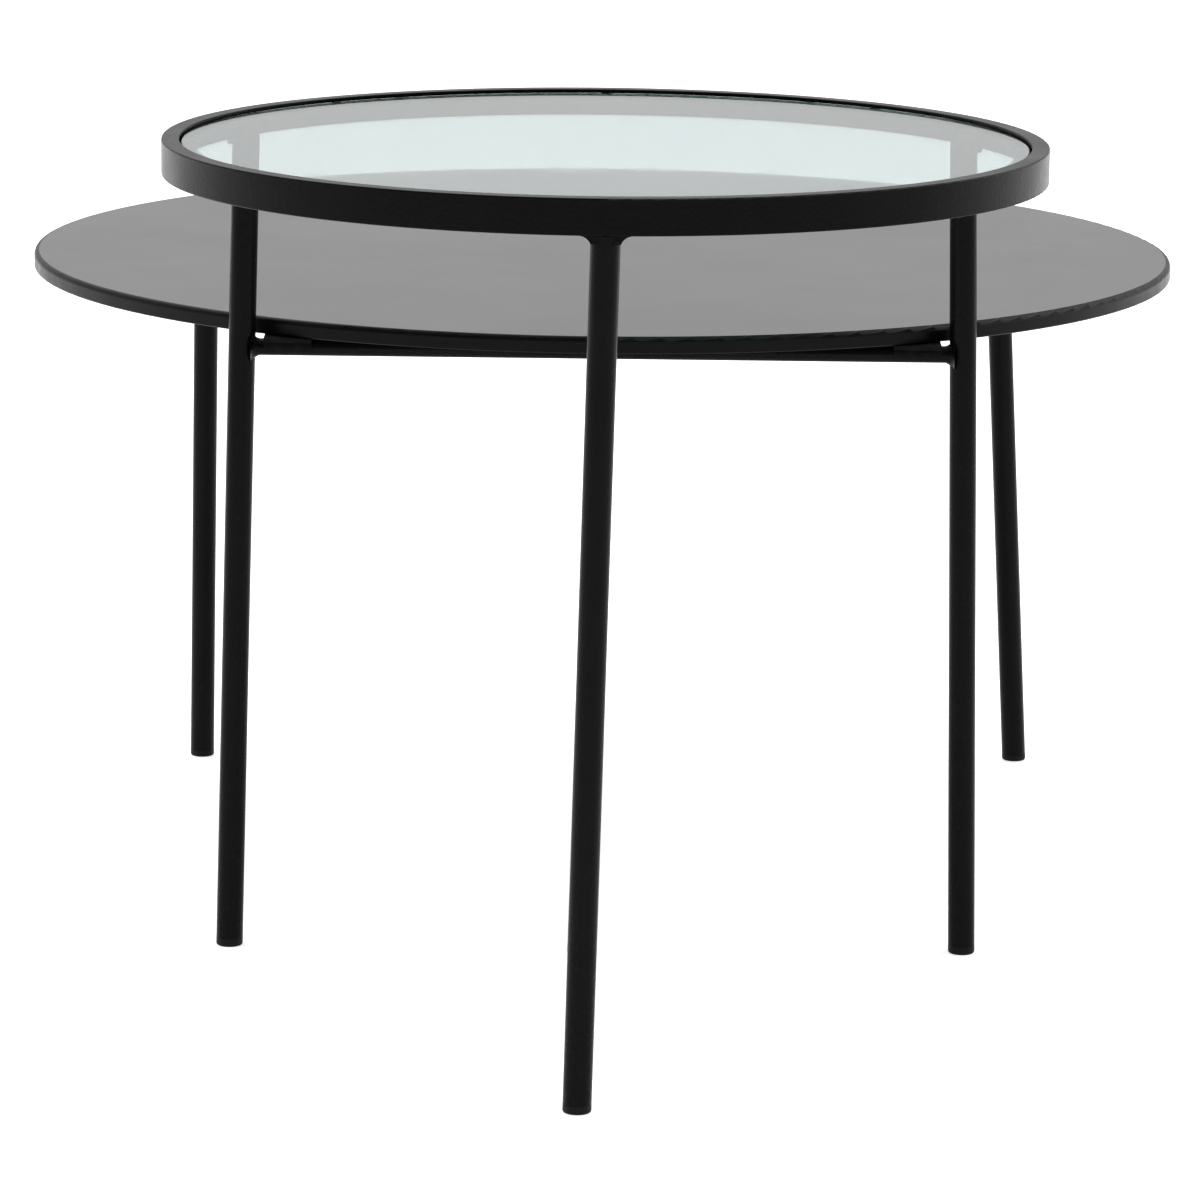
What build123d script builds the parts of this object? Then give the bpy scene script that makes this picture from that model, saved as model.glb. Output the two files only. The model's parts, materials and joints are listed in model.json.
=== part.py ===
"""Nesting tables: a tall glass-topped side table over a larger, lower one.

Millimetres, +Z up, +Y from the tall table towards the low one.  The origin is on the
floor, under the middle of the pair's outline.  Each piece is written to parts/NODE.step.
"""
import os
from math import cos, radians, sin

from build123d import *

# ---- tall table ----
TALL_HEIGHT = 505.0          # floor to the ring's top face
RING_RADIUS = 250.0          # outside of the rolled ring
RING_WIDTH = 10.0            # radial width of the ring's flat bar
RING_BAND = 20.0             # height of the ring's flat bar
RING_EDGE = 0.8              # rounding of the bar's corners
TALL_TOP_INSET = 8.0         # leg axis in from the ring's outside, at the ring
TALL_FOOT_SPREAD = 12.0      # how far further out each foot stands than its leg's top

# ---- glass and what carries it ----
GLASS_THICKNESS = 5.0
GLASS_RECESS = 2.0           # glass top below the ring's top face
GLASS_CLEARANCE = 1.0        # radial gap between glass and ring
GLASS_EDGE = 0.8             # polished edge
LEDGE_WIDTH = 9.0
LEDGE_THICKNESS = 2.5
BUMPER_RADIUS = 4.0
BUMPER_HEIGHT = 1.2
BUMPER_COUNT = 6
LIFT_GAP = 0.2               # between bumper and glass
LEDGE_WELD_COUNT = 6
LEDGE_WELD_SIZE = 3.0
LEDGE_WELD_ARC = 6.0         # degrees

# ---- legs of both tables ----
TUBE_RADIUS = 8.0
TUBE_WALL = 1.5
LEG_WELD_FLARE = 5.5         # how far a leg's weld runs out along the ring or plate
LEG_WELD_DEPTH = 4.5         # how far it runs down the leg
WELD_HOLLOW = 0.36           # how hollow a bead's face is: 0.5 would be flat
GLIDE_HEIGHT = 5.0
GLIDE_EDGE = 1.6
GLIDE_STEM = 14.0
GLIDE_CLEARANCE = 0.1

# ---- low table ----
LOW_HEIGHT = 381.0           # floor to the low top's upper face
LOW_RADIUS = 361.0
LOW_THICKNESS = 10.0
LOW_UPPER_EDGE = 3.0
LOW_LOWER_EDGE = 0.6
LOW_FRONT_INSET = 73.0       # front leg's axis in from the low top's rim, at the plate
LOW_BACK_INSET = 49.0        # the same for the two back legs
LOW_FOOT_SPREAD = 28.0
PLATE_THICKNESS = 2.5
PLATE_LENGTH = 64.0
PLATE_CORNER = 6.0
PLATE_MARGIN = 4.0           # plate past the leg's outer side
SCREW_RADIUS = 2.0
SCREW_HEAD_RADIUS = 4.0
SCREW_HEAD_HEIGHT = 1.6
SCREW_LENGTH = 9.0
SCREW_INSET = 7.0            # screw centre from the plate's edges
SCREW_HOLE_CLEARANCE = 0.25
SCREW_HEAD_CLEARANCE = 0.5   # between a screw's head and the leg's bead, across the plate
SCREW_SLOT_LENGTH = 3.2      # each arm-to-arm slot of the cross recess
SCREW_SLOT_WIDTH = 0.8
SCREW_SLOT_DEPTH = 0.9

# ---- stretcher between the tall table's back legs ----
STRETCHER_RADIUS = 5.0
STRETCHER_DROP = 1.5         # from the low top's underside to the bar's top
STRETCHER_WELD_FLARE = 2.5
PAD_LENGTH = 28.0
PAD_INSET = 27.0             # pad centre in from the leg's axis
PAD_WALL = 2.0
PAD_SKIRT = 2.5              # how far below the bar's axis a pad reaches
PAD_SHELF_DEPTH = 20.0       # flat top, across the bar
PAD_SHELF_THICKNESS = 2.4
PAD_CLEARANCE = 0.3          # from the pad to the low top that slides over it

# ---- how the tables stand together ----
NEST_CLEARANCE = 1.0         # from the stretcher to the bead of the low table's front leg
BACK_AZIMUTH = 30.0          # of the tall table's back legs

# Legs by name: radius of the top's place, azimuth in degrees, then how far the foot was
# set off its true place, x and y.
TALL_LEG_RADIUS = RING_RADIUS - TALL_TOP_INSET
LOW_FRONT_RADIUS = LOW_RADIUS - LOW_FRONT_INSET
LOW_BACK_RADIUS = LOW_RADIUS - LOW_BACK_INSET
TALL_LEGS = {
    "front": (TALL_LEG_RADIUS, -90.0, -10.0, 34.0),
    "back_right": (TALL_LEG_RADIUS, BACK_AZIMUTH, 0.0, 0.0),
    "back_left": (TALL_LEG_RADIUS, 180.0 - BACK_AZIMUTH, 0.0, 0.0),
}
LOW_LEGS = {
    "front": (LOW_FRONT_RADIUS, -90.0, -9.0, 0.0),
    "back_right": (LOW_BACK_RADIUS, 32.5, 0.0, 32.0),
    "back_left": (LOW_BACK_RADIUS, 147.5, 18.0, 18.0),
}

# ---- not sizes of the tables ----
TRIM_REACH = 2000.0          # size of the blocks that trim slanting ends level
LEVEL_TOLERANCE = 0.01       # for picking out the edges at a height

# ---- worked out from the values above ----
RING_INNER = RING_RADIUS - RING_WIDTH
RING_BOTTOM = TALL_HEIGHT - RING_BAND
GLASS_RADIUS = RING_INNER - GLASS_CLEARANCE
GLASS_TOP = TALL_HEIGHT - GLASS_RECESS
GLASS_BOTTOM = GLASS_TOP - GLASS_THICKNESS
LEDGE_TOP = GLASS_BOTTOM - LIFT_GAP - BUMPER_HEIGHT
LEDGE_INNER = RING_INNER - LEDGE_WIDTH
LOW_BOTTOM = LOW_HEIGHT - LOW_THICKNESS
PLATE_BOTTOM = LOW_BOTTOM - PLATE_THICKNESS
SCREW_ACROSS = TUBE_RADIUS + LEG_WELD_FLARE + SCREW_HEAD_RADIUS + SCREW_HEAD_CLEARANCE
PLATE_WIDTH = 2 * (SCREW_ACROSS + SCREW_INSET)
STRETCHER_Z = LOW_BOTTOM - STRETCHER_DROP - STRETCHER_RADIUS
STRETCHER_SPREAD = TALL_LEG_RADIUS + TALL_FOOT_SPREAD * (1 - STRETCHER_Z / RING_BOTTOM)
STRETCHER_BACK = STRETCHER_SPREAD * sin(radians(BACK_AZIMUTH)) + STRETCHER_RADIUS
NEST_OFFSET = STRETCHER_BACK + NEST_CLEARANCE + LEG_WELD_FLARE + TUBE_RADIUS + LOW_FRONT_RADIUS
TALL_Y = -(NEST_OFFSET + LOW_RADIUS - RING_RADIUS) / 2
LOW_Y = TALL_Y + NEST_OFFSET

FROM_BASE = (Align.CENTER, Align.CENTER, Align.MIN)
HUNG = (Align.CENTER, Align.CENTER, Align.MAX)


def around(center_y, radius, azimuth, z):
    """The point at an azimuth on a circle about a table's axis."""
    angle = radians(azimuth)
    return Vector(radius * cos(angle), center_y + radius * sin(angle), z)


def leg_line(center_y, spread, top_z, leg):
    """The top and floor points of a leg's axis."""
    radius, azimuth, set_x, set_y = leg
    top = around(center_y, radius, azimuth, top_z)
    foot = around(center_y, radius + spread, azimuth, 0) + Vector(set_x, set_y, 0)
    return top, foot


def tall_line(name):
    return leg_line(TALL_Y, TALL_FOOT_SPREAD, RING_BOTTOM, TALL_LEGS[name])


def low_line(name):
    return leg_line(LOW_Y, LOW_FOOT_SPREAD, PLATE_BOTTOM, LOW_LEGS[name])


def rod(start, end, radius):
    """A solid round bar between two points."""
    run = end - start
    return Plane(origin=start, z_dir=run) * Cylinder(radius, run.length, align=FROM_BASE)


def below(z):
    """A large block under a height, to trim a slanting end level."""
    return Pos(0, 0, z) * Box(2 * TRIM_REACH, 2 * TRIM_REACH, TRIM_REACH, align=HUNG)


def above(z):
    """A large block over a height."""
    return Pos(0, 0, z) * Box(2 * TRIM_REACH, 2 * TRIM_REACH, TRIM_REACH, align=FROM_BASE)


def disc(radius, thickness, center_y, bottom):
    return Pos(0, center_y, bottom) * Cylinder(radius, thickness, align=FROM_BASE)


def ring(outer, inner, height, center_y, bottom):
    return disc(outer, height, center_y, bottom) - disc(inner, height, center_y, bottom)


def at_height(shape, z):
    """The edges of a shape that lie level at a height."""
    return [edge for edge in shape.edges() if abs(edge.center().Z - z) < LEVEL_TOLERANCE]


def leg_tube(top, foot):
    """A tube with its top cut level and its lower end square to its axis."""
    along = (foot - top).normalized()
    start = top - along * TUBE_RADIUS
    end = foot - along * GLIDE_HEIGHT
    tube = rod(start, end, TUBE_RADIUS) - rod(start, end, TUBE_RADIUS - TUBE_WALL)
    return tube & below(top.Z)


def leg_glide(top, foot):
    """A plastic glide: a stem in the tube and a head ground level on the floor."""
    along = (foot - top).normalized()
    seat = foot - along * GLIDE_HEIGHT
    head = rod(seat, foot + along * GLIDE_HEIGHT, TUBE_RADIUS) & above(0)
    head = fillet(at_height(head, 0), GLIDE_EDGE)
    stem_radius = TUBE_RADIUS - TUBE_WALL - GLIDE_CLEARANCE
    return head + rod(seat - along * GLIDE_STEM, seat, stem_radius)


def weld_outline(bar_radius, flare, depth):
    """Half a section through a welded bar: from its axis out to the bead's hollow face."""
    rim = (bar_radius + flare, 0)
    toe = (bar_radius, depth)
    waist = (bar_radius + flare * WELD_HOLLOW, depth * WELD_HOLLOW)
    straight = Polyline(toe, (0, depth), (0, 0), rim)
    return make_face(straight + ThreePointArc(rim, waist, toe))


def weld_collar(place, bar_radius, flare, depth):
    """A bead all round a plane's normal, filled where the bar itself is then cut away."""
    return place * revolve(Plane.XZ * weld_outline(bar_radius, flare, depth), Axis.Z)


def leg_bar(top, foot):
    """The space that a leg fills, run on past its top."""
    along = (foot - top).normalized()
    return rod(top - along * TUBE_RADIUS, foot, TUBE_RADIUS)


def ring_frame():
    frame = ring(RING_RADIUS, RING_INNER, RING_BAND, TALL_Y, RING_BOTTOM)
    return fillet(at_height(frame, TALL_HEIGHT) + at_height(frame, RING_BOTTOM), RING_EDGE)


def glass_top():
    pane = disc(GLASS_RADIUS, GLASS_THICKNESS, TALL_Y, GLASS_BOTTOM)
    return fillet(at_height(pane, GLASS_TOP) + at_height(pane, GLASS_BOTTOM), GLASS_EDGE)


def glass_ledge():
    return ring(RING_INNER, LEDGE_INNER, LEDGE_THICKNESS, TALL_Y, LEDGE_TOP - LEDGE_THICKNESS)


def glass_bumpers():
    middle = RING_INNER - LEDGE_WIDTH / 2
    places = [around(TALL_Y, middle, 360 * i / BUMPER_COUNT, LEDGE_TOP) for i in range(BUMPER_COUNT)]
    return [Pos(p) * Cylinder(BUMPER_RADIUS, BUMPER_HEIGHT, align=FROM_BASE) for p in places]


def ledge_welds():
    """Short beads in the corner under the ledge, halfway between the bumpers."""
    low = LEDGE_TOP - LEDGE_THICKNESS
    corner = (RING_INNER, low)
    inward = (RING_INNER - LEDGE_WELD_SIZE, low)
    downward = (RING_INNER, low - LEDGE_WELD_SIZE)
    outline = Polyline(corner, inward, downward, close=True)
    bead = revolve(Plane.XZ * make_face(outline), Axis.Z, revolution_arc=LEDGE_WELD_ARC)
    step = 360 / LEDGE_WELD_COUNT
    turns = [step * (i + 0.5) - LEDGE_WELD_ARC / 2 for i in range(LEDGE_WELD_COUNT)]
    return [Pos(0, TALL_Y, 0) * Rot(0, 0, turn) * bead for turn in turns]


def tall_leg_welds():
    """Straight beads across the ring's underside, one on each side of each leg."""
    reach = RING_WIDTH - 2 * RING_EDGE
    outline = Plane.YZ * Rot(180, 0, 0) * weld_outline(TUBE_RADIUS, LEG_WELD_FLARE, LEG_WELD_DEPTH)
    bead = extrude(outline, reach, dir=(1, 0, 0))
    beads = []
    for name, (_, azimuth, _, _) in TALL_LEGS.items():
        place = Pos(around(TALL_Y, RING_INNER + RING_EDGE, azimuth, RING_BOTTOM)) * Rot(0, 0, azimuth)
        for side in (bead, mirror(bead, Plane.XZ)):
            beads.append(place * side - leg_bar(*tall_line(name)))
    return beads


def low_leg_welds():
    beads = []
    for name in LOW_LEGS:
        top, foot = low_line(name)
        place = Plane(origin=top, z_dir=(0, 0, -1))
        bead = weld_collar(place, TUBE_RADIUS, LEG_WELD_FLARE, LEG_WELD_DEPTH)
        beads.append(bead - leg_bar(top, foot))
    return beads


def on_line(top, foot, z):
    """The point of a leg's axis at a height."""
    share = (top.Z - z) / (top.Z - foot.Z)
    return top + (foot - top) * share


def stretcher_ends():
    names = ("back_left", "back_right")
    return [on_line(*tall_line(name), STRETCHER_Z) for name in names]


def back_legs():
    """The two solid bars that the back legs fill, for fitting the stretcher to them."""
    return [rod(*tall_line(name), TUBE_RADIUS) for name in ("back_left", "back_right")]


def stretcher():
    left, right = stretcher_ends()
    bar = rod(left, right, STRETCHER_RADIUS)
    for leg in back_legs():
        bar = bar - leg
    return bar


def stretcher_welds():
    left, right = stretcher_ends()
    left_leg, right_leg = back_legs()
    beads = []
    for end, other, leg in ((left, right, left_leg), (right, left, right_leg)):
        inward = (other - end).normalized()
        seat = end + inward * (TUBE_RADIUS - STRETCHER_WELD_FLARE)
        depth = 2 * STRETCHER_WELD_FLARE
        bead = weld_collar(Plane(origin=seat, z_dir=inward), STRETCHER_RADIUS, depth, depth)
        beads += (bead - rod(left, right, STRETCHER_RADIUS) - leg).solids()
    return beads


def stretcher_pad(place):
    """A rubber saddle clipped over the bar, with a flat shelf for the low top to slide over."""
    top = LOW_BOTTOM - PAD_CLEARANCE
    reach = Vector(PAD_LENGTH / 2, 0, 0)
    sleeve = rod(place - reach, place + reach, STRETCHER_RADIUS + PAD_WALL)
    sleeve = sleeve & above(STRETCHER_Z - PAD_SKIRT) & below(top)
    shelf = Box(PAD_LENGTH, PAD_SHELF_DEPTH, PAD_SHELF_THICKNESS, align=HUNG)
    pad = sleeve + Pos(place.X, place.Y, top) * shelf
    return pad - rod(place - reach, place + reach, STRETCHER_RADIUS)


def stretcher_pads():
    left, right = stretcher_ends()
    inset = Vector(PAD_INSET, 0, 0)
    return [stretcher_pad(left + inset), stretcher_pad(right - inset)]


def low_top():
    board = disc(LOW_RADIUS, LOW_THICKNESS, LOW_Y, LOW_BOTTOM)
    board = fillet(at_height(board, LOW_HEIGHT), LOW_UPPER_EDGE)
    board = chamfer(at_height(board, LOW_BOTTOM), LOW_LOWER_EDGE)
    depth = SCREW_LENGTH - PLATE_THICKNESS
    for name in LOW_LEGS:
        for place in screw_places(name):
            hole = Cylinder(SCREW_RADIUS, depth, align=FROM_BASE)
            board = board - Pos(place.X, place.Y, LOW_BOTTOM) * hole
    return board


def plate_frame(name):
    """The middle of a leg's plate, turned so that its X axis points outwards."""
    radius, azimuth, _, _ = LOW_LEGS[name]
    middle = radius + TUBE_RADIUS + PLATE_MARGIN - PLATE_LENGTH / 2
    return Pos(around(LOW_Y, middle, azimuth, PLATE_BOTTOM)) * Rot(0, 0, azimuth)


def screw_places(name):
    along = PLATE_LENGTH / 2 - SCREW_INSET
    corners = [(x, y) for x in (-along, along) for y in (-SCREW_ACROSS, SCREW_ACROSS)]
    return [(plate_frame(name) * Pos(x, y, 0)).position for x, y in corners]


def low_plate(name):
    outline = RectangleRounded(PLATE_LENGTH, PLATE_WIDTH, PLATE_CORNER)
    plate = plate_frame(name) * extrude(outline, PLATE_THICKNESS)
    for place in screw_places(name):
        hole = Cylinder(SCREW_RADIUS + SCREW_HOLE_CLEARANCE, PLATE_THICKNESS, align=FROM_BASE)
        plate = plate - Pos(place) * hole
    return plate


def plate_screws():
    """Pan-head screws up through the plates, each with a cross recess."""
    head = Pos(0, 0, -SCREW_HEAD_HEIGHT) * Cylinder(SCREW_HEAD_RADIUS, SCREW_HEAD_HEIGHT, align=FROM_BASE)
    head = fillet(at_height(head, -SCREW_HEAD_HEIGHT), SCREW_HEAD_HEIGHT / 2)
    slot = Box(SCREW_SLOT_LENGTH, SCREW_SLOT_WIDTH, SCREW_SLOT_DEPTH, align=FROM_BASE)
    recess = Pos(0, 0, -SCREW_HEAD_HEIGHT) * (slot + Rot(0, 0, 90) * slot)
    screw = head - recess + Cylinder(SCREW_RADIUS, SCREW_LENGTH, align=FROM_BASE)
    return [Pos(place) * screw for name in LOW_LEGS for place in screw_places(name)]


def write(node, pieces):
    shape = Compound(children=list(pieces)) if isinstance(pieces, list) else pieces
    export_step(shape, f"parts/{node}.step")


def main():
    os.makedirs("parts", exist_ok=True)
    write("ring_frame", ring_frame())
    write("glass_top", glass_top())
    write("glass_ledge", glass_ledge())
    write("glass_bumpers", glass_bumpers())
    write("ledge_welds", ledge_welds())
    write("tall_leg_welds", tall_leg_welds())
    write("stretcher", stretcher())
    write("stretcher_welds", stretcher_welds())
    write("stretcher_pads", stretcher_pads())
    write("low_top", low_top())
    write("low_leg_welds", low_leg_welds())
    write("plate_screws", plate_screws())
    for name in TALL_LEGS:
        write(f"tall_leg_{name}", leg_tube(*tall_line(name)))
        write(f"tall_glide_{name}", leg_glide(*tall_line(name)))
    for name in LOW_LEGS:
        write(f"low_leg_{name}", leg_tube(*low_line(name)))
        write(f"low_glide_{name}", leg_glide(*low_line(name)))
        write(f"low_plate_{name}", low_plate(name))


main()
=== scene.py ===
"""Materials, light and camera for the pair of round nesting tables.

Metres, +Z up, +Y from the tall glass table towards the low one.  Every shape comes from
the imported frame; this script gives each one its finish.
"""
import json
import math

import bpy
from mathutils import Matrix, Vector


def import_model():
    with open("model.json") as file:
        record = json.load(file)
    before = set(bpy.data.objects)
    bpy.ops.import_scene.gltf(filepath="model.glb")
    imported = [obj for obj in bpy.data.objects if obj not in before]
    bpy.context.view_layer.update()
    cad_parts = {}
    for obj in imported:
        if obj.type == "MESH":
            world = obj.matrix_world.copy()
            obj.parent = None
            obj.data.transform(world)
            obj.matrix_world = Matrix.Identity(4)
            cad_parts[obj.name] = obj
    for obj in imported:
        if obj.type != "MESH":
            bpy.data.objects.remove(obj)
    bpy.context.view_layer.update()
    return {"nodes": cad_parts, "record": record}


# ---- camera ----
CAMERA_PLACE = (-0.0095, -3.6362, 0.9269)
CAMERA_YAW = 0.0028          # radians to the right of +Y
CAMERA_PITCH = 0.2014        # radians below level
CAMERA_ROLL = 0.0120         # radians, which lowers the right of the view
CAMERA_LENS = 180.0          # mm
SENSOR_WIDTH = 36.0          # mm

# ---- studio ----
SEEN_WHITE = 1.0             # the backdrop as the camera sees it
DARK_SIDE = 0.10             # light from the unlit side of the studio, towards -Y
BRIGHT_SIDE = 0.80           # light from the white backdrop, towards +Y
SIDE_TURNS = (-0.55, 0.15)   # Y of the directions between which dark turns to bright
OVERHEAD = 1.0               # light added straight overhead
TOP_TURNS = (0.25, 1.0)      # Z of the directions between which that light sets in
FLOOR_SIZE = 14.0
FLOOR_COLOR = (0.9, 0.9, 0.9)
FLOOR_GLOW = 0.64            # light from within the lit white floor
KEY_PLACE = (-0.6, 0.6, 3.2)
KEY_AIM = (0.0, 0.0, 0.2)
KEY_SIZE = (3.0, 3.0)
KEY_POWER = 40.0             # watts

# ---- colours, linear ----
WHITE = (1.0, 1.0, 1.0)
STEEL_COLOR = (0.0025, 0.0025, 0.0024)
BOARD_COLOR = (0.0030, 0.0030, 0.0031)
GLIDE_COLOR = (0.004, 0.004, 0.004)
RUBBER_COLOR = (0.004, 0.004, 0.004)
SILICONE_COLOR = (0.78, 0.80, 0.79)
ZINC_COLOR = (0.50, 0.51, 0.53)
GLASS_TINT = (0.49, 0.60, 0.595)
GLASS_EDGE_COLOR = (0.05, 0.19, 0.145)

# ---- finishes ----
GRAIN = 1500.0               # powder coat's grains a metre
PAINT_SPECULAR = 0.06
LACQUER_SPECULAR = 0.75
RIM_SPECULAR = 0.08
PLASTIC_SPECULAR = 0.1
RUBBER_SPECULAR = 0.08
FLOOR_SPECULAR = 0.1
SILICONE_CLARITY = 0.75      # share of the light that goes through
SILICONE_IOR = 1.41
GLASS_IOR = 1.5
GLASS_TURNS = (0.35, 0.9)    # a normal's rise between which edge colour turns to tint

LEVEL_FACE = 0.9995          # a face counts as level when its normal rises this much

# Spans of a noise's values about its middle: MOST drives roughness, and MIDDLE colour.
MOST = (0.3, 0.7)
MIDDLE = (0.35, 0.65)

# Sockets of the Mix node, which repeats their names for each data type.
MIX_SHARE = 0
MIX_NUMBERS = (2, 3)
MIX_COLORS = (6, 7)
MIX_NUMBER_OUT = 0
MIX_COLOR_OUT = 2


# ---- node helpers ----
def new_material(name):
    """A material with a lone shader, returned with its node tree and that shader."""
    material = bpy.data.materials.new(name)
    material.use_nodes = True
    tree = material.node_tree
    tree.nodes.clear()
    output = tree.nodes.new("ShaderNodeOutputMaterial")
    shader = tree.nodes.new("ShaderNodeBsdfPrincipled")
    tree.links.new(shader.outputs["BSDF"], output.inputs["Surface"])
    return material, tree, shader


def opaque(color):
    return (*color, 1.0)


def dimmed(color, factor):
    return tuple(factor * part for part in color)


def object_place(tree):
    """Texture coordinates fixed to the object, in metres."""
    return tree.nodes.new("ShaderNodeTexCoord").outputs["Object"]


def noise(tree, place, scale, detail=3.0, roughness=0.5):
    """Smooth noise of so many cells a metre."""
    node = tree.nodes.new("ShaderNodeTexNoise")
    node.inputs["Scale"].default_value = scale
    node.inputs["Detail"].default_value = detail
    node.inputs["Roughness"].default_value = roughness
    tree.links.new(place, node.inputs["Vector"])
    return node.outputs["Fac"]


def cells(tree, place, scale):
    """The distance to the nearest of many scattered points, so many a metre."""
    node = tree.nodes.new("ShaderNodeTexVoronoi")
    node.inputs["Scale"].default_value = scale
    tree.links.new(place, node.inputs["Vector"])
    return node.outputs["Distance"]


def spread(tree, value, span, to_span):
    """A value's range stretched onto another range."""
    node = tree.nodes.new("ShaderNodeMapRange")
    node.inputs["From Min"].default_value, node.inputs["From Max"].default_value = span
    node.inputs["To Min"].default_value, node.inputs["To Max"].default_value = to_span
    tree.links.new(value, node.inputs["Value"])
    return node.outputs["Result"]


def direction_parts(tree, direction):
    """The X, Y and Z of a direction, as a node with an output for each."""
    node = tree.nodes.new("ShaderNodeSeparateXYZ")
    tree.links.new(direction, node.inputs["Vector"])
    return node.outputs


def blend_colors(tree, share, low, high):
    """A colour between two, by a share from 0 to 1."""
    node = tree.nodes.new("ShaderNodeMix")
    node.data_type = "RGBA"
    for socket, color in zip(MIX_COLORS, (low, high)):
        node.inputs[socket].default_value = opaque(color)
    tree.links.new(share, node.inputs[MIX_SHARE])
    return node.outputs[MIX_COLOR_OUT]


def mottle(tree, shader, value, span, low, high):
    """Base colour that wanders between two as the value runs over its span."""
    share = spread(tree, value, span, (0.0, 1.0))
    tree.links.new(blend_colors(tree, share, low, high), shader.inputs["Base Color"])


def vary_roughness(tree, shader, value, span, to_span):
    """Roughness that runs over one span as the value runs over another."""
    tree.links.new(spread(tree, value, span, to_span), shader.inputs["Roughness"])


def bump(tree, shader, height, distance, strength, under=None):
    """Relief of so many metres, laid over any relief passed as under."""
    node = tree.nodes.new("ShaderNodeBump")
    node.inputs["Strength"].default_value = strength
    node.inputs["Distance"].default_value = distance
    tree.links.new(height, node.inputs["Height"])
    if under is not None:
        tree.links.new(under, node.inputs["Normal"])
    tree.links.new(node.outputs["Normal"], shader.inputs["Normal"])
    return node.outputs["Normal"]


# ---- finishes ----
def powder_coat():
    """Fine-textured matt black powder coat: tiny rounded grains over a slight orange peel."""
    material, tree, shader = new_material("powder_coat")
    place = object_place(tree)
    patch = noise(tree, place, 26.0, detail=4.0)
    mottle(tree, shader, patch, MIDDLE, dimmed(STEEL_COLOR, 0.86), dimmed(STEEL_COLOR, 1.18))
    vary_roughness(tree, shader, patch, MOST, (0.25, 0.31))
    shader.inputs["Specular IOR Level"].default_value = PAINT_SPECULAR
    peel = bump(tree, shader, noise(tree, place, 420.0, detail=2.0), 0.00022, 0.5)
    bump(tree, shader, cells(tree, place, GRAIN), 0.00010, 0.5, under=peel)
    return material


def weld_paint():
    """The same paint where it lies over a bead: smoother, with the bead's ripples."""
    material, tree, shader = new_material("weld_paint")
    place = object_place(tree)
    shader.inputs["Base Color"].default_value = opaque(STEEL_COLOR)
    vary_roughness(tree, shader, noise(tree, place, 300.0), MOST, (0.26, 0.38))
    shader.inputs["Specular IOR Level"].default_value = PAINT_SPECULAR
    ripple = bump(tree, shader, noise(tree, place, 650.0, detail=1.0), 0.0005, 0.7)
    bump(tree, shader, cells(tree, place, GRAIN), 0.00010, 0.4, under=ripple)
    return material


def satin_board():
    """Black satin lacquer on board: nearly flat, with faint roller texture and fine dust."""
    material, tree, shader = new_material("satin_lacquer")
    place = object_place(tree)
    patch = noise(tree, place, 9.0, detail=5.0, roughness=0.6)
    mottle(tree, shader, patch, MIDDLE, dimmed(BOARD_COLOR, 0.92), dimmed(BOARD_COLOR, 1.10))
    vary_roughness(tree, shader, patch, MOST, (0.23, 0.26))
    shader.inputs["Specular IOR Level"].default_value = LACQUER_SPECULAR
    peel = bump(tree, shader, noise(tree, place, 240.0, detail=2.0), 0.00004, 0.3)
    bump(tree, shader, noise(tree, place, 1900.0, detail=1.0), 0.00002, 0.35, under=peel)
    return material


def sprayed_rim():
    """The board's rim, where the lacquer sinks into the board and dries duller."""
    material, tree, shader = new_material("sprayed_rim")
    place = object_place(tree)
    shader.inputs["Base Color"].default_value = opaque(BOARD_COLOR)
    vary_roughness(tree, shader, noise(tree, place, 60.0, detail=4.0), MOST, (0.30, 0.38))
    shader.inputs["Specular IOR Level"].default_value = RIM_SPECULAR
    bump(tree, shader, noise(tree, place, 1400.0, detail=3.0), 0.00003, 0.5)
    return material


def moulded_plastic():
    """Black moulded plastic with a fine spark-eroded grain and paler scuffs."""
    material, tree, shader = new_material("moulded_plastic")
    place = object_place(tree)
    patch = noise(tree, place, 120.0, detail=4.0)
    mottle(tree, shader, patch, (0.4, 0.7), GLIDE_COLOR, dimmed(GLIDE_COLOR, 1.7))
    vary_roughness(tree, shader, patch, MOST, (0.42, 0.6))
    shader.inputs["Specular IOR Level"].default_value = PLASTIC_SPECULAR
    bump(tree, shader, noise(tree, place, 2600.0, detail=2.0), 0.00006, 0.5)
    return material


def black_rubber():
    """Dull black rubber with a faint bloom."""
    material, tree, shader = new_material("black_rubber")
    place = object_place(tree)
    patch = noise(tree, place, 180.0, detail=5.0)
    mottle(tree, shader, patch, (0.45, 0.75), RUBBER_COLOR, dimmed(RUBBER_COLOR, 2.2))
    vary_roughness(tree, shader, patch, MOST, (0.68, 0.82))
    shader.inputs["Specular IOR Level"].default_value = RUBBER_SPECULAR
    bump(tree, shader, noise(tree, place, 1600.0, detail=3.0), 0.00008, 0.6)
    return material


def clear_silicone():
    """Slightly cloudy clear silicone."""
    material, tree, shader = new_material("clear_silicone")
    shader.inputs["Base Color"].default_value = opaque(SILICONE_COLOR)
    cloud = noise(tree, object_place(tree), 700.0, detail=2.0)
    vary_roughness(tree, shader, cloud, MOST, (0.22, 0.36))
    shader.inputs["Transmission Weight"].default_value = SILICONE_CLARITY
    shader.inputs["IOR"].default_value = SILICONE_IOR
    bump(tree, shader, cloud, 0.00005, 0.3)
    return material


def zinc_plate():
    """Bright zinc plate, faintly mottled."""
    material, tree, shader = new_material("zinc_plate")
    place = object_place(tree)
    patch = noise(tree, place, 900.0, detail=4.0)
    mottle(tree, shader, patch, MIDDLE, dimmed(ZINC_COLOR, 0.8), ZINC_COLOR)
    vary_roughness(tree, shader, patch, MOST, (0.28, 0.42))
    shader.inputs["Metallic"].default_value = 1.0
    bump(tree, shader, noise(tree, place, 2600.0, detail=1.0), 0.00003, 0.5)
    return material


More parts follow.
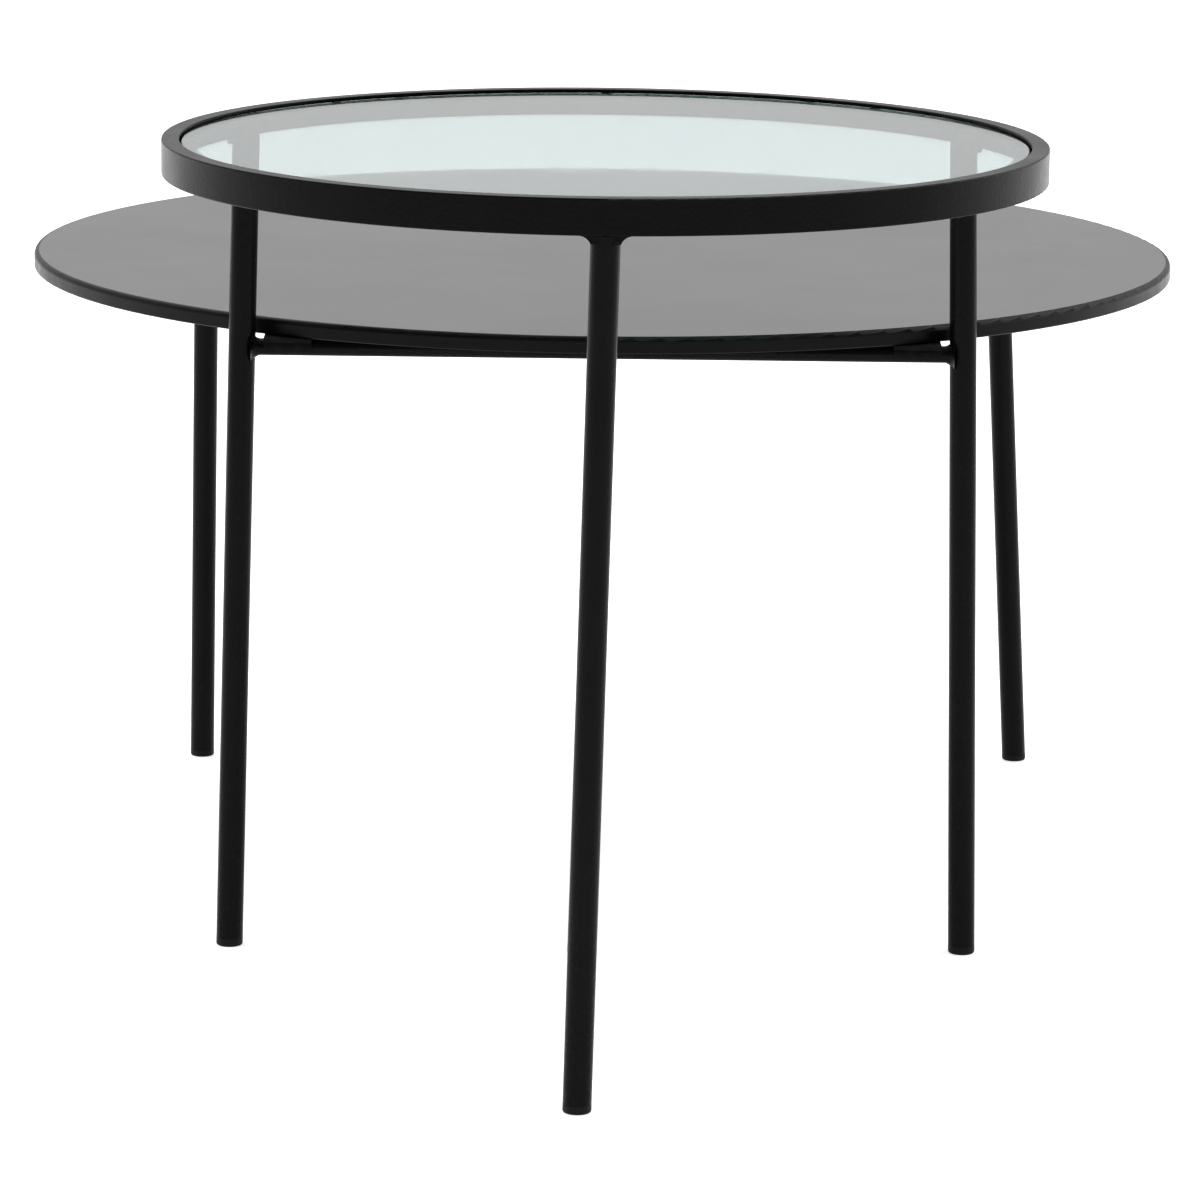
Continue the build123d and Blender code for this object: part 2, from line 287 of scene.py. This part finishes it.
def clear_glass():
    """Clear toughened glass, with a light smear, and green at its edge."""
    material, tree, shader = new_material("clear_glass")
    shader.inputs["Transmission Weight"].default_value = 1.0
    shader.inputs["IOR"].default_value = GLASS_IOR
    smear = noise(tree, object_place(tree), 30.0, detail=5.0, roughness=0.65)
    vary_roughness(tree, shader, smear, (0.45, 0.75), (0.0, 0.02))
    normal = tree.nodes.new("ShaderNodeNewGeometry").outputs["Normal"]
    rise = tree.nodes.new("ShaderNodeMath")
    rise.operation = "ABSOLUTE"
    tree.links.new(direction_parts(tree, normal)["Z"], rise.inputs[0])
    mottle(tree, shader, rise.outputs["Value"], GLASS_TURNS, GLASS_EDGE_COLOR, GLASS_TINT)
    return material


def paint_rim(board, finish):
    """Gives a second material to every face of a board that turns away from level."""
    board.data.materials.append(finish)
    for face in board.data.polygons:
        face.material_index = 0 if abs(face.normal.z) > LEVEL_FACE else 1


def dress(frame):
    """Gives each CAD node the material of its slot; beads get the rippled paint."""
    finishes = {
        "frame_steel": powder_coat(),
        "glass": clear_glass(),
        "low_board": satin_board(),
        "glide": moulded_plastic(),
        "black_rubber": black_rubber(),
        "clear_rubber": clear_silicone(),
        "screw": zinc_plate(),
    }
    beads = weld_paint()
    for part in frame["record"]["subparts"]:
        node = part["node"]
        finish = beads if node.endswith("_welds") else finishes[part["material_slot"]]
        materials = frame["nodes"][node].data.materials
        materials.clear()
        materials.append(finish)
    paint_rim(frame["nodes"]["low_top"], sprayed_rim())


# ---- studio ----
def floor_paint():
    """Pale paint, barely mottled, that glows a little as on a light table."""
    material, tree, shader = new_material("floor_paint")
    share = noise(tree, object_place(tree), 2.0, detail=2.0)
    color = blend_colors(tree, share, dimmed(FLOOR_COLOR, 0.99), FLOOR_COLOR)
    tree.links.new(color, shader.inputs["Base Color"])
    shader.inputs["Roughness"].default_value = 0.9
    shader.inputs["Specular IOR Level"].default_value = FLOOR_SPECULAR
    shader.inputs["Emission Color"].default_value = opaque(WHITE)
    shader.inputs["Emission Strength"].default_value = FLOOR_GLOW
    return material


def add_floor():
    """A plain square floor."""
    half = FLOOR_SIZE / 2
    corners = [(-half, -half, 0), (half, -half, 0), (half, half, 0), (-half, half, 0)]
    mesh = bpy.data.meshes.new("floor")
    mesh.from_pydata(corners, [], [(0, 1, 2, 3)])
    mesh.materials.append(floor_paint())
    floor = bpy.data.objects.new("floor", mesh)
    bpy.context.scene.collection.objects.link(floor)


def add_world():
    """A studio: white behind and overhead, unlit on the side that the camera stands on."""
    world = bpy.data.worlds.new("studio")
    bpy.context.scene.world = world
    world.use_nodes = True
    tree = world.node_tree
    back = tree.nodes["Background"]
    back.inputs["Color"].default_value = opaque(WHITE)
    parts = direction_parts(tree, tree.nodes.new("ShaderNodeTexCoord").outputs["Generated"])
    light = tree.nodes.new("ShaderNodeMath")
    light.operation = "ADD"
    side = spread(tree, parts["Y"], SIDE_TURNS, (DARK_SIDE, BRIGHT_SIDE))
    tree.links.new(side, light.inputs[0])
    tree.links.new(spread(tree, parts["Z"], TOP_TURNS, (0.0, OVERHEAD)), light.inputs[1])
    path = tree.nodes.new("ShaderNodeLightPath")
    shown = tree.nodes.new("ShaderNodeMix")
    lit, seen = MIX_NUMBERS
    shown.inputs[seen].default_value = SEEN_WHITE
    tree.links.new(path.outputs["Is Camera Ray"], shown.inputs[MIX_SHARE])
    tree.links.new(light.outputs["Value"], shown.inputs[lit])
    tree.links.new(shown.outputs[MIX_NUMBER_OUT], back.inputs["Strength"])


def add_key_light():
    """A large soft light high overhead, a little left and on the low table's side."""
    light = bpy.data.lights.new("key", "AREA")
    light.shape = "RECTANGLE"
    light.size, light.size_y = KEY_SIZE
    light.energy = KEY_POWER
    lamp = bpy.data.objects.new("key", light)
    lamp.location = KEY_PLACE
    aim = Vector(KEY_AIM) - Vector(KEY_PLACE)
    lamp.rotation_euler = aim.to_track_quat("-Z", "Y").to_euler()
    bpy.context.scene.collection.objects.link(lamp)


def add_camera():
    right = Vector((math.cos(CAMERA_YAW), -math.sin(CAMERA_YAW), 0))
    ahead = Vector((math.sin(CAMERA_YAW), math.cos(CAMERA_YAW), 0)) * math.cos(CAMERA_PITCH)
    ahead.z = -math.sin(CAMERA_PITCH)
    up = right.cross(ahead)
    tilted = math.cos(CAMERA_ROLL) * right + math.sin(CAMERA_ROLL) * up
    upright = tilted.cross(ahead)
    axes = Matrix((tilted, upright, -ahead)).transposed().to_4x4()
    data = bpy.data.cameras.new("camera")
    data.sensor_width = SENSOR_WIDTH
    data.lens = CAMERA_LENS
    camera = bpy.data.objects.new("camera", data)
    camera.matrix_world = Matrix.Translation(CAMERA_PLACE) @ axes
    bpy.context.scene.collection.objects.link(camera)
    bpy.context.scene.camera = camera


def main():
    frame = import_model()
    dress(frame)
    add_floor()
    add_world()
    add_key_light()
    bpy.context.scene.view_settings.view_transform = "Standard"
    add_camera()


main()
